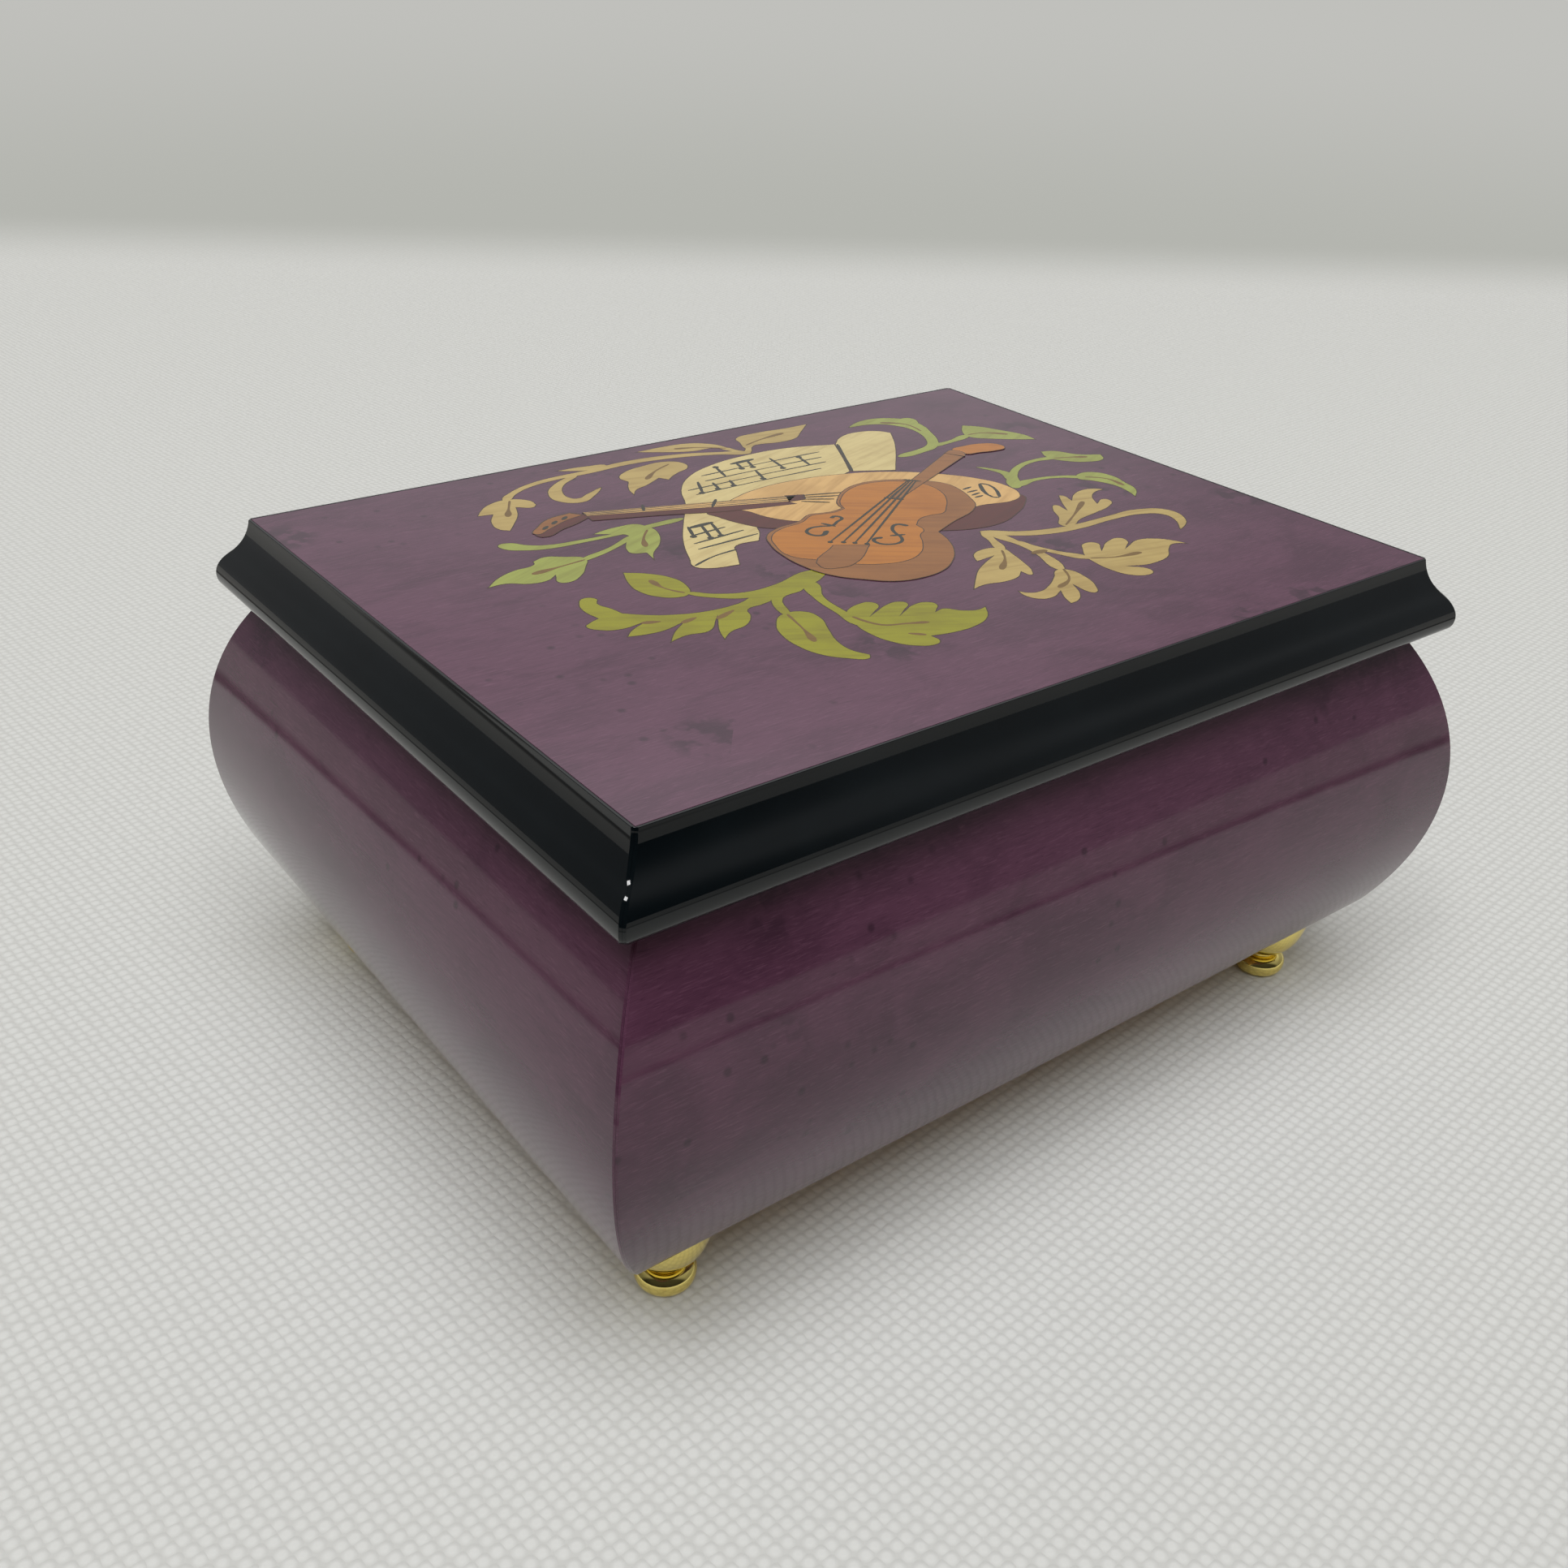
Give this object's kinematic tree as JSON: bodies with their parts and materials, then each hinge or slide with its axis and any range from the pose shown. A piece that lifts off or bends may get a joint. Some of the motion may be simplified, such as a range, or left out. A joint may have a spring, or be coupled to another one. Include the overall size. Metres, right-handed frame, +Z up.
{
  "type": "jewellery box",
  "caption": "Bombe jewellery box in dyed burl veneer with a moulded, inlaid hinged lid, turned brass feet, velvet compartments and a wind-up musical movement.",
  "frame": {"origin": "centre of the box's footprint, on the surface that its feet stand on", "axes": "+X right along the front, +Y from the front to the hinged back, +Z up"},
  "size_m": [0.1598, 0.1256, 0.0776],
  "materials": {
    "purple_veneer": "dyed burl veneer under satin-gloss lacquer",
    "black_lacquer": "high-gloss black lacquer",
    "bare_wood": "plain plywood and softwood",
    "brass": "polished",
    "velvet": "short velvet pile",
    "clear_acrylic": "clear, polished",
    "zinc": "die-cast zinc, dull",
    "steel": "ground steel"
  },
  "bodies": {
    "case": {"front_wall": "purple_veneer", "back_wall": "purple_veneer", "left_wall": "purple_veneer", "right_wall": "purple_veneer", "base_board": "bare_wood", "pane_ledge": "bare_wood", "movement_pane": "clear_acrylic", "foot_front_left": "brass", "foot_front_right": "brass", "foot_rear_left": "brass", "foot_rear_right": "brass", "left_hinge_case_leaf": "brass", "right_hinge_case_leaf": "brass", "left_hinge_pin": "brass", "right_hinge_pin": "brass", "front_lining": "velvet", "back_lining": "velvet", "left_lining": "velvet", "right_lining": "velvet", "main_floor_pad": "velvet", "ring_floor_pad": "velvet", "long_divider": "velvet", "cross_divider": "velvet", "ring_roll_1": "velvet", "ring_roll_2": "velvet", "ring_roll_3": "velvet", "bedplate": "zinc", "spring_barrel": "zinc", "steel_comb": "steel", "governor_case": "zinc", "comb_screw_1": "steel", "comb_screw_2": "steel", "movement_screw_1": "steel", "movement_screw_2": "steel", "movement_screw_3": "steel"},
    "lid": {"front_moulding": "black_lacquer", "back_moulding": "black_lacquer", "left_moulding": "black_lacquer", "right_moulding": "black_lacquer", "lid_panel": "bare_wood", "lid_veneer": "purple_veneer", "lid_lining": "velvet", "left_hinge_lid_leaf": "brass", "right_hinge_lid_leaf": "brass"},
    "key": {"winding_key": "brass", "winding_arbor": "steel"},
    "cylinder": {"music_cylinder": "brass", "cylinder_wheel": "brass"},
    "governor": {"governor_pinion": "brass"},
    "fan": {"air_brake_fan": "steel"},
    "stop_lever": {"stop_lever": "steel"}
  },
  "joints": [
    {"name": "lid_hinge", "type": "hinge", "parent": "case", "child": "lid", "pos_m": [0, 0.0554, 0.06615], "axis": [-1, 0, 0], "range_deg": [0, 100]},
    {"name": "key_turn", "type": "hinge", "parent": "case", "child": "key", "pos_m": [0.02495, 0.00975, 0.01], "axis": [0, 0, 1], "continuous": true},
    {"name": "cylinder_spin", "type": "hinge", "parent": "case", "child": "cylinder", "pos_m": [0.045, 0.02155, 0.0336], "axis": [1, 0, 0], "continuous": true},
    {"name": "governor_spin", "type": "hinge", "parent": "case", "child": "governor", "pos_m": [0.056, 0.03175, 0.0336], "axis": [1, 0, 0], "continuous": true},
    {"name": "fan_spin", "type": "hinge", "parent": "case", "child": "fan", "pos_m": [0.04735, 0.0334, 0.042], "axis": [0, 0, 1], "continuous": true},
    {"name": "stop_lever_tilt", "type": "hinge", "parent": "case", "child": "stop_lever", "pos_m": [0.02145, 0.03885, 0.0266], "axis": [0, -1, 0], "range_deg": [0, 5]}
  ],
  "couplings": [
    {"joint": "governor_spin", "follows": "cylinder_spin", "ratio": -2.4},
    {"joint": "fan_spin", "follows": "cylinder_spin", "ratio": 12},
    {"joint": "stop_lever_tilt", "follows": "lid_hinge", "ratio": 0.05}
  ]
}
